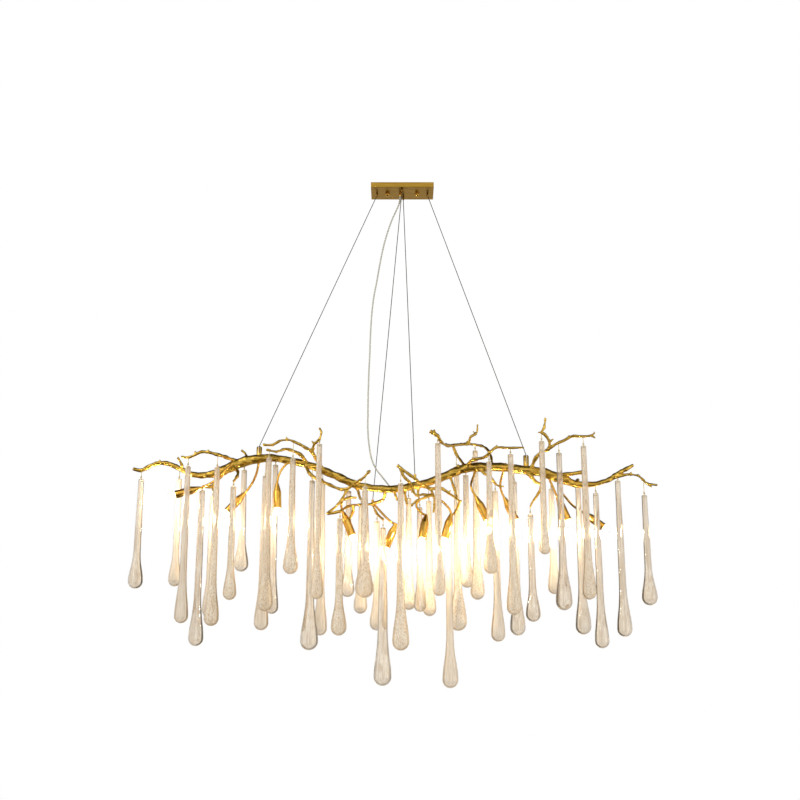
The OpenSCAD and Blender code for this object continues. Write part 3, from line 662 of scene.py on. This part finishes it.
@dataclass
class Canopy:
    """The ceiling canopy with what holds it up: sizes in millimetres."""

    screw_r: float = 1.7
    screw_h: float = 1.2
    screw_x: tuple[float, ...] = (-10.0, 0.0, 10.0)
    screw_seat: float = 3.0

    def build(self, brushed: bpy.types.Material, polished: bpy.types.Material) -> None:
        """Builds the cover, nuts, grips and what they hide.

        Args:
            brushed: finish of the sheet metal.
            polished: finish of the nuts.
        """
        rounded_copy("canopy_shell", "canopy_cover", brushed, "canopy_gold", 0.7, 3)
        rounded_copy("domed_nuts", "cap_nuts", polished, "polished_brass", 0.3)
        # The wire grips take a darker copy of the polished brass: painted shade.
        rounded_copy("cable_grips", "wire_grips", GRIP_BRASS_PAINTED_SHADE.build(), "polished_brass", 0.35)
        zinc = ZINC_STEEL.build()
        rounded_copy("bracket_plate", "ceiling_bracket", zinc, "zinc_steel", 0.3)
        rounded_copy("threaded_studs", "bracket_studs", zinc, "zinc_steel", 0.3)
        rounded_copy("connector_block", "terminal_block", NYLON.build(), "white_nylon", 0.5, 3)
        self.screws()

    def screws(self) -> None:
        """Sets three domed brass screw heads into the block's holes."""
        low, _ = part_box("terminal_block")
        skin = Skin()
        t = np.linspace(0.0, 1.0, 7)[:, None]
        r, h = self.screw_r * MM, self.screw_h * MM
        dome = np.hstack([r * np.cos(t * 1.5), h * np.sin(t * 1.5)])
        profile = np.vstack([[r * 0.2, -h], [r, -h], dome])
        for x in self.screw_x:
            skin.tube(lathe(profile, 24, (x * MM, 0.0, low.z + self.screw_seat * MM)))
        finish_piece(skin.piece("terminal_screws"), "frame", SCREW_BRASS.build(), "polished_brass")


@dataclass
class SupplyCord:
    """The clear supply cord, from its grip in the canopy to the branch: points in millimetres."""

    diameter: float = 4.5
    sides: int = 16
    sleeve: float = 24.0
    ribs: int = 6
    route: tuple[tuple[float, float, float], ...] = (
        (-6, 1, -27), (-7, 1, -40), (-13, 1, -60), (-32, 2, -105), (-48, 3, -155), (-60, 4, -205),
        (-69, 4, -255), (-77, 4, -305), (-85, 4, -350), (-90, 4, -395), (-93, 4, -440), (-95, 3, -490),
        (-96, 2, -535), (-98, 1, -580), (-99, 0, -625), (-100, 0, -670), (-100, 0, -715), (-100, 0, -760),
        (-96, 0, -805), (-88, 0, -848), (-74, 0, -878), (-54, 0, -904), (-37, 0, -926))

    def build(self, polished: bpy.types.Material) -> None:
        """Args:
            polished: finish of the grip.
        """
        line = smooth_line(np.array(self.route, float) * MM, 6)
        skin = Skin()
        skin.tube(sweep(line, self.diameter / 2 * MM, self.sides, (0, 1, 0)))
        cord = skin.piece("supply_cord")
        vinyl = VINYL.build()
        rounded_copy("cord_gland", "cord_grip", polished, "polished_brass", 0.35)
        finish_piece(cord, "frame", vinyl, "clear_cord", "power_cord")
        self.relief(line, vinyl)

    def relief(self, line: Array, vinyl: bpy.types.Material) -> None:
        """Builds the tapered strain relief round the cord's first stretch.

        Args:
            line: the cord's centre line.
            vinyl: its material.
        """
        walked = np.concatenate([[0.0], np.cumsum(np.linalg.norm(np.diff(line, axis=0), axis=1))])
        at = np.linspace(0.0, self.sleeve * MM, 25)
        path = np.stack([np.interp(at, walked, line[:, i]) for i in range(3)], axis=1)
        share = at / at[-1]
        ribs = 0.18 * (np.cos(share * 2 * np.pi * self.ribs) > 0)
        radius = (self.diameter / 2 + 0.15 + 1.35 * (1 - share) + ribs) * MM
        skin = Skin()
        skin.tube(sweep(path, radius, self.sides, (0, 1, 0)))
        finish_piece(skin.piece("cord_sleeve"), "frame", vinyl, "clear_cord")


@dataclass
class Suspension:
    """The four stranded steel wires, each a run of points: sizes in millimetres."""

    runs: tuple[tuple[tuple[float, float, float], ...], ...] = (
        ((-77, 0, -23), (-412, 0, -808), (-412, 0, -833.8)), ((77, 0, -23), (355, 0, -833.465), (355, 0, -863.665)),
        ((-1, -31, -23), (-86, 49.8, -960)), ((3, 24, -23), (35, -60, -908)))
    radius: float = 1.12
    groove: float = 0.05
    strands: int = 6
    lay: float = 6.0
    sides: int = 18

    def build(self) -> None:
        """Builds the wires; the outer two have a knee and then hang down inside their fork.

        The section's radius is r (1 - g + g cos(strands a - 2 pi s / lay)), with g the groove, so the strands
        wind round it.
        """
        skin = Skin()
        angle = 2 * np.pi * np.arange(self.sides) / self.sides
        for run in self.runs:
            corners_m = np.array(run, float) * MM
            walked = np.concatenate([[0.0], np.cumsum(np.linalg.norm(np.diff(corners_m, axis=0), axis=1))])
            step = self.lay / self.strands * MM
            at = np.unique(np.concatenate([np.arange(0.0, walked[-1], step), walked]))
            path = np.stack([np.interp(at, walked, corners_m[:, i]) for i in range(3)], axis=1)
            turn = 2 * np.pi * at[:, None] / (self.lay * MM)
            radius = self.radius * MM * (1 - self.groove + self.groove * np.cos(self.strands * angle - turn))
            skin.tube(sweep(path, radius, self.sides, (0, 1, 0)))
        finish_piece(skin.piece("steel_ropes"), "frame", STRAND_STEEL.build(), "steel_wire", "suspension_wires")


@dataclass
class BranchCasting:
    """The branch with its twigs, cast in one: sizes in millimetres."""

    voxel: float = 1.8
    swell: float = 0.1
    bark: float = 0.54
    bark_cell: tuple[float, float, float] = (38.0, 5.0, 5.0)
    lump: float = 1.2
    lump_cell: tuple[float, float, float] = (17.0, 10.0, 10.0)
    grit: float = 0.24
    grit_cell: float = 5.0

    def build(self, cast: bpy.types.Material) -> None:
        """Builds the casting and its posts.

        The copied wood is remeshed into one skin, so that twigs flow out of the branch. A point then moves
        along its normal by swell + bark n1 + lump n2 + grit n3, where n1 is ridged noise, n2 and n3 are smooth
        noise, and each has its own cell. No point leaves the box of the drawn wood.

        Args:
            cast: the finish.
        """
        wood = merged_copy("branch_casting", "main_branch", "twigs")
        drawn = mesh_points(wood.data)
        low, high = drawn.min(0), drawn.max(0)
        remesh = wood.modifiers.new("skin", "REMESH")
        remesh.mode = "VOXEL"
        remesh.voxel_size = self.voxel * MM
        relax = wood.modifiers.new("relax", "SMOOTH")
        relax.factor = 0.5
        relax.iterations = 3
        apply_modifiers(wood)
        points = mesh_points(wood.data)
        normals = np.empty(len(points) * 3, np.float32)
        wood.data.vertex_normals.foreach_get("vector", normals)
        ridged = 1 - 2 * np.abs(lattice_noise(points / (np.array(self.bark_cell) * MM), 3))
        lumps = lattice_noise(points / (np.array(self.lump_cell) * MM), 5)
        grit = lattice_noise(points / (self.grit_cell * MM), 7)
        rise = (self.swell + self.bark * ridged + self.lump * lumps + self.grit * grit) * MM
        moved = np.clip(points + normals.reshape(-1, 3) * rise[:, None], low, high)
        wood.data.vertices.foreach_set("co", moved.astype(np.float32).ravel())
        wood.data.shade_smooth()
        finish_piece(wood, "frame", cast, "gilt_brass", "main_branch", "twigs")
        # The rope posts take a lighter copy of the cast brass: painted light.
        rounded_copy("rope_posts", "wire_posts", POST_BRASS.build(), "gilt_brass", 0.9, 3)


@dataclass
class Lamps:
    """The eleven lamps with their arms: sizes in millimetres."""

    light_watts: float = 1.4
    light_radius: float = 12.0
    light_gap: float = 4.0
    light_colour: str = "#ffe9c0"

    def build(self, polished: bpy.types.Material) -> None:
        """Builds arms, cups, holders and capsules, and a light before each mouth.

        Args:
            polished: finish of arms and cups.
        """
        arms = merged_copy("lamp_tubes", "lamp_arms")
        soften = arms.modifiers.new("soften", "SUBSURF")
        soften.levels = soften.render_levels = 1
        apply_modifiers(arms)
        finish_piece(arms, "frame", polished, "polished_brass", "lamp_arms")
        rounded_copy("lamp_shades", "lamp_cups", polished, "polished_brass", 0.35, 2, 30.0)
        rounded_copy("ceramic_holders", "lamp_holders", CERAMIC.build(), "ceramic", 0.5)
        capsules = merged_copy("glowing_capsules", "lamp_capsules")
        finish_piece(capsules, "frame", LAMP.build(), "lamp_glass", "lamp_capsules")
        self.lights()

    def lights(self) -> None:
        """Puts a small warm light just past the end of each capsule."""
        holders = [points.mean(0) for points in solids("lamp_holders")]
        for number, points in enumerate(solids("lamp_capsules")):
            middle = points.mean(0)
            holder = min(holders, key=lambda at: float(np.linalg.norm(at - middle)))
            way = unit(middle - holder)
            tip = points[np.argmax(points @ way)]
            lamp = bpy.data.lights.new(f"lamp_light_{number + 1:02d}", "POINT")
            lamp.energy = self.light_watts
            lamp.color = linear(self.light_colour)[:3]
            lamp.shadow_soft_size = self.light_radius * MM
            put(lamp.name, lamp, tip + way * (self.light_radius + self.light_gap) * MM)


@dataclass
class Hangers:
    """The wire loops that carry the drops: sizes in millimetres."""

    wire: float = 1.05
    pin: float = 1.25
    leg: float = 10.05
    rise: float = 4.2
    eye: float = 6.0
    corner: float = 2.2
    coil_turns: float = 3.0
    coil_wire: float = 0.62
    coil_foot: float = 1.6

    def loop(self, top: Array) -> tuple[Array, Array]:
        """Draws the closed loop of one hanger as a rectangle with round corners, square to X.

        Args:
            top: middle of the glass's flat top.
        Returns:
            (n, 3) points and their n radii, thicker along the pin.
        """
        half_y, low, high = self.leg, -self.eye, self.rise
        c = self.corner
        quarter = np.linspace(0.0, np.pi / 2, 7)
        centres = ((half_y - c, low + c, -0.5), (half_y - c, high - c, 0.0), (-half_y + c, high - c, 0.5),
                   (-half_y + c, low + c, 1.0))
        arcs = [(y, z, quarter + turn * np.pi) for y, z, turn in centres]
        corners = [np.stack([y + c * np.cos(arc), z + c * np.sin(arc)], axis=1) for y, z, arc in arcs]
        run = np.linspace(-half_y + 2 * c, half_y - 2 * c, 5)
        bottom = np.stack([run, np.full(5, low)], axis=1)
        flat = np.vstack([bottom, *corners])
        radius = np.where(flat[:, 1] < low + 0.05, self.pin, self.wire)
        points = np.column_stack([np.zeros(len(flat)), flat]) * MM + top
        return points, radius * MM

    def build(self, tops: Mapping[str, Array]) -> None:
        """Builds a loop, a stem and a small coil at the stem's foot for each drop.

        The coil is (R cos a, R sin a, p a / 2 pi) about the stem.

        Args:
            tops: middle of each drop's flat top by the drop's name.
        """
        skin = Skin()
        start = self.coil_foot * MM
        stems = solids("drop_hangers")
        for top in tops.values():
            mine = min(stems, key=lambda s: float(np.linalg.norm((s.max(0) + s.min(0))[:2] / 2 - top[:2])))
            head = mine[:, 2].max()
            loop, radius = self.loop(top)
            skin.tube(sweep(loop, radius, 10, (1, 0, 0), closed=True), ring=True)
            foot = top + [0, 0, self.rise * MM]
            stem = foot + np.linspace(0, 1, 6)[:, None] * [0, 0, head - foot[2]]
            skin.tube(sweep(stem, self.wire * MM, 10, (1, 0, 0)))
            room = min(head - foot[2] - 1.5 * MM, 6 * MM)
            angle = np.linspace(0, 2 * np.pi * self.coil_turns, 46)
            reach = (self.wire + 0.6) * MM
            coil = foot + np.stack([reach * np.cos(angle), reach * np.sin(angle),
                                    start + (room - start) * angle / angle[-1]], axis=1)
            skin.tube(sweep(coil, self.coil_wire * MM, 6, (0, 0, 1)))
        finish_piece(skin.piece("wire_hangers"), "frame", HOOK_STEEL.build(), "steel_hook", "drop_hangers")


@dataclass
class Drop:
    """One blown glass drop, read from its CAD node: lengths in metres."""

    name: str
    kind: GlassKind
    neck: float = 7.75 * MM
    lip: float = 1.1 * MM
    eye: float = 6.0 * MM
    bore: float = 1.36 * MM
    bell: float = 0.15
    bell_reach: float = 2.4
    unevenness: float = 0.0175
    sides: int = 48
    rings: int = 76
    top: Array = field(init=False)
    length: float = field(init=False)
    bulb: float = field(init=False)
    stem: float = field(init=False)

    def __post_init__(self) -> None:
        """Reads the drop's place, length, bulb radius and stem radius from its node."""
        low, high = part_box(self.name)
        self.top = np.array([(low.x + high.x) / 2, (low.y + high.y) / 2, high.z])
        self.length = high.z - low.z
        self.bulb = (high.x - low.x) / 2
        points = mesh_points(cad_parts[self.name].data)
        depth = self.top[2] - points[:, 2]
        reach = np.hypot(points[:, 0] - self.top[0], points[:, 1] - self.top[1])
        waist = self.length - self.bulb - self.bell_reach * self.bell * self.length
        self.stem = float(reach[np.argmin(np.abs(depth - waist))])

    def profile(self) -> Array:
        """Works out (depth, radius) from the flat top to the round end.

        Neck to stem follows a cosine ease; the bell is rs + (rb - rs) exp(-((s - c) / w)^2) with
        w the bell's share of the length and c = length - rb; below c the end is part of a circle. The flat
        top's edge is rounded.
        """
        c, w = self.length - self.bulb, self.bell * self.length
        waist = c - self.bell_reach * w
        lip = np.linspace(0.0, np.pi / 2, 6)
        start = np.stack([self.lip * (1 - np.cos(lip)), self.neck - self.lip + self.lip * np.sin(lip)], axis=1)
        depth = np.linspace(2.5 * MM, c, self.rings)
        ease = 0.5 - 0.5 * np.cos(np.pi * np.clip(depth / waist, 0, 1))
        body = self.neck + (self.stem - self.neck) * ease
        bell = self.stem + (self.bulb - self.stem) * np.exp(-(((depth - c) / w) ** 2))
        radius = np.where(depth < waist, body, bell)
        turn = np.linspace(0.0, np.pi / 2, 17)[1:]
        end = np.stack([c + self.bulb * np.sin(turn), np.maximum(self.bulb * np.cos(turn), 0.12 * MM)], axis=1)
        return np.vstack([[0.0, 0.3 * MM], start, np.stack([depth, radius], axis=1), end])

    def build(self, glass: bpy.types.Material) -> None:
        """Builds the drop: its profile turned, made uneven by hand, with a bore for the pin.

        A slow noise over height and angle cuts the radius back by up to twice the unevenness.

        Args:
            glass: the finish.
        """
        profile = self.profile()
        depth, radius = profile[::-1].T
        grid = lathe(np.stack([radius, -depth], axis=1), self.sides, (0, 0, 0))
        wave = lattice_noise(grid.reshape(-1, 3) / (np.array([26.0, 26.0, 34.0]) * MM) + self.top[0] * 97, 11)
        wave = wave.reshape(grid.shape[:2])
        calm = np.clip((depth - 0.03) / 0.05, 0, 1)[:, None]
        grid[..., :2] *= (1 - self.unevenness * calm * (1 + wave))[..., None]
        skin = Skin()
        skin.tube(grid + self.top)
        piece = skin.piece(f"glass_{self.name}")
        self.cut_bore(piece)
        finish_piece(piece, self.name, glass, "blown_glass", self.name)

    def cut_bore(self, piece: bpy.types.Object) -> None:
        """Cuts the pin's hole through the neck, along Y."""
        path = self.top + np.array([[0, y, -self.eye] for y in (-0.02, 0.0, 0.02)])
        skin = Skin()
        skin.tube(sweep(path, self.bore, 24, (1, 0, 0)))
        cutter = skin.piece(f"cutter_{self.name}")
        cut = piece.modifiers.new("bore", "BOOLEAN")
        cut.object = cutter
        cut.solver = "EXACT"
        apply_modifiers(piece)
        bpy.data.objects.remove(cutter)
        piece.data.set_sharp_from_angle(angle=math.radians(50))


# Numbers of the drops of clear and of milky glass; the others are seeded.
CLEAR_DROPS = frozenset({1, 4, 8, 11, 13, 17, 21, 24, 34, 35, 38, 40, 41, 42, 43})
MILKY_DROPS = frozenset({2, 3, 6, 9, 15, 19, 20, 28, 32, 37})


def glass_kind(number: int) -> GlassKind:
    """Gives the glass that a drop of this number shows in the photograph."""
    if number in CLEAR_DROPS:
        return GlassKind.CLEAR
    return GlassKind.MILKY if number in MILKY_DROPS else GlassKind.SEEDED


@dataclass
class Studio:
    """The white surroundings, the soft lights and the camera at the photograph's place."""

    eye: tuple[float, float, float] = (-0.007, -3.370, -1.5925)
    pitch: float = 15.3
    lens: float = 54.0
    floor_z: float = -2.4
    floor_half: float = 6.0
    flags: tuple[float, ...] = (-150.0, -48.0, 75.0, 150.0)
    flag_half: float = 14.0
    flag: str = "#362c17"
    panel: str = "#fffdf6"
    side_from: float = 0.74
    side: str = "#5f5849"
    aim: tuple[float, float, float] = (0.0, 0.0, -1.0)

    def build(self) -> None:
        """Builds the world, floor, lights and camera."""
        self.world()
        self.floor()
        self.soft_light("key_panel", (-2.2, -2.4, 0.6), 1.6, 26.0)
        self.soft_light("fill_panel", (2.4, -1.6, -1.6), 1.2, 10.0)
        self.camera()

    def flag_stops(self) -> list[tuple[float, str]]:
        """Lists the dark flags that stand round the studio as stops of a ramp over the full turn.

        Returns:
            (share of the turn, hex colour) pairs; each flag is three stops wide.
        """
        stops = [(0.0, self.panel)]
        for degrees in self.flags:
            middle = degrees / 360 + 0.5
            half = self.flag_half / 360
            stops += [(middle - half, self.panel), (middle, self.flag), (middle + half, self.panel)]
        return stops

    def world(self) -> None:
        """Lights by ray type.

        Camera rays see plain white. Glossy rays see a white room with narrow dark flags round it and dark
        above and below. Transmission rays see white with a dark flag at each side, where |X| of their way is
        over side_from; it darkens the glass towards its edge. Diffuse rays see an even level.
        """
        world = bpy.data.worlds.new("white_studio")
        bpy.context.scene.world = world
        world.use_nodes = True
        tree = world.node_tree
        tree.nodes.clear()
        path = add_node(tree, "LightPath")
        way = add_node(tree, "TexCoord")
        axes = add_node(tree, "SeparateXYZ", {0: way.outputs["Generated"]})
        front = add_node(tree, "Math", {0: axes.outputs["Y"]}, {1: -1.0}, operation="MULTIPLY")
        rise = add_node(tree, "Math", {0: axes.outputs["Z"]}, {1: 0.5, 2: 0.5}, operation="MULTIPLY_ADD")
        turn = add_node(tree, "Math", {0: axes.outputs["X"], 1: front.outputs[0]}, operation="ARCTAN2")
        share = add_node(tree, "Math", {0: turn.outputs[0]}, {1: 0.5 / math.pi, 2: 0.5},
                         operation="MULTIPLY_ADD")
        flags = add_node(tree, "ValToRGB", {"Fac": share.outputs[0]}, stops=self.flag_stops())
        before = add_node(tree, "ValToRGB", {"Fac": rise.outputs[0]},
                          stops=((0.16, self.flag), (0.34, "#a89d86"), (0.44, "#ffffff"), (0.78, "#ffffff"),
                                 (0.92, self.flag)))
        behind = add_node(tree, "ValToRGB", {"Fac": rise.outputs[0]},
                          stops=((0.10, self.flag), (0.26, "#d0c6ae"), (0.50, "#ffffff"), (0.65, "#ffffff"),
                                 (0.74, self.flag)))
        depth = add_node(tree, "MapRange", {"Value": axes.outputs["Y"]}, {"From Min": -0.3, "From Max": 0.1})
        height = add_node(tree, "Mix", {0: depth.outputs[0], 6: before.outputs[0], 7: behind.outputs[0]},
                          data_type="RGBA")
        lit = add_node(tree, "Mix", {6: flags.outputs[0], 7: height.outputs[2]}, {0: 1.0},
                       data_type="RGBA", blend_type="MULTIPLY")
        panels = add_node(tree, "Background", {"Color": lit.outputs[2]}, {"Strength": 1.0})
        even = add_node(tree, "Background", values={"Color": linear("#fffaf2"), "Strength": 0.95})
        white = add_node(tree, "Background", values={"Color": (1, 1, 1, 1), "Strength": 1.0})
        glossy = add_node(tree, "MixShader", {0: path.outputs["Is Glossy Ray"], 1: even.outputs[0],
                                                        2: panels.outputs[0]})
        aside = add_node(tree, "Math", {0: axes.outputs["X"]}, operation="ABSOLUTE")
        sides = add_node(tree, "ValToRGB", {"Fac": aside.outputs[0]},
                         stops=((self.side_from, "#ffffff"), (self.side_from + 0.08, self.side)))
        through = add_node(tree, "Background", {"Color": sides.outputs[0]}, {"Strength": 1.0})
        inside = add_node(tree, "MixShader", {0: path.outputs["Is Transmission Ray"], 1: glossy.outputs[0],
                                                        2: through.outputs[0]})
        total = add_node(tree, "MixShader", {0: path.outputs["Is Camera Ray"], 1: inside.outputs[0],
                                                       2: white.outputs[0]})
        add_node(tree, "OutputWorld", {"Surface": total.outputs[0]})

    def floor(self) -> None:
        """Lays the pale floor far below; it reads as white but keeps the object's soft shadow."""
        h, z = self.floor_half, self.floor_z
        mesh = bpy.data.meshes.new("studio_floor")
        mesh.from_pydata([(-h, -h, z), (h, -h, z), (h, h, z), (-h, h, z)], [], [(0, 1, 2, 3)])
        floor = put("studio_floor", mesh)
        material, tree, _ = new_material("pale_floor")
        path = add_node(tree, "LightPath")
        matt = add_node(tree, "BsdfDiffuse", values={"Color": linear("#f4f4f2")})
        white = add_node(tree, "Emission", values={"Color": (1, 1, 1, 1), "Strength": 1.0})
        seen = add_node(tree, "Math", {0: path.outputs["Is Camera Ray"],
                                                 1: path.outputs["Is Transmission Ray"]}, operation="MAXIMUM")
        share = add_node(tree, "Math", {0: seen.outputs[0]}, {1: 0.8}, operation="MULTIPLY")
        show(tree, add_node(tree, "MixShader", {0: share.outputs[0], 1: matt.outputs[0],
                                                          2: white.outputs[0]}))
        floor.data.materials.append(material)
        floor.visible_glossy = False
        floor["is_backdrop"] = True

    def soft_light(self, name: str, at: Sequence[float], size: float, watts: float) -> None:
        """Hangs a square soft light that faces the chandelier's middle.

        Args:
            name: its name.
            at: its place.
            size: its side.
            watts: its power.
        """
        light = bpy.data.lights.new(name, "AREA")
        light.size = size
        light.energy = watts
        light.color = linear("#fff4e2")[:3]
        way = np.subtract(at, self.aim)
        turned = (math.acos(way[2] / np.linalg.norm(way)), 0.0, math.atan2(way[0], -way[1]))
        put(name, light, at).rotation_euler = turned

    def camera(self) -> None:
        """Sets the camera at the photograph's angle, for a frame of 800 by 800."""
        lens = bpy.data.cameras.new("photo_camera")
        lens.lens = self.lens
        lens.sensor_width = 36.0
        lens.clip_end = 60.0
        camera = put("photo_camera", lens, self.eye)
        camera.rotation_euler = (math.radians(90 + self.pitch), 0.0, 0.0)
        bpy.context.scene.camera = camera


def corners() -> list[list[float]]:
    """Gives the present bounds as plain lists."""
    return [[float(value) for value in corner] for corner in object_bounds()]


def main() -> None:
    """Builds the studio and then the chandelier, from the ceiling down."""
    logging.basicConfig(level=logging.INFO, format="%(message)s")
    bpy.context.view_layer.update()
    bpy.context.scene.view_settings.view_transform = "Standard"
    Studio().build()
    polished = POLISHED_BRASS.build()
    SupplyCord().build(polished)
    Canopy().build(BRUSHED_BRASS.build(), polished)
    Suspension().build()
    BranchCasting().build(CAST_BRASS.build())
    Lamps().build(polished)
    glasses = {glass.kind: glass.build() for glass in (CLEAR_GLASS, MILKY_GLASS, SEEDED_GLASS)}
    names = sorted(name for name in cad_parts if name.startswith("drop_") and name[5:].isdigit())
    drops = [Drop(name, glass_kind(int(name[5:]))) for name in names]
    Hangers().build({drop.name: drop.top for drop in drops})
    for drop in drops:
        drop.build(glasses[drop.kind])


if __name__ == "__main__":
    main()
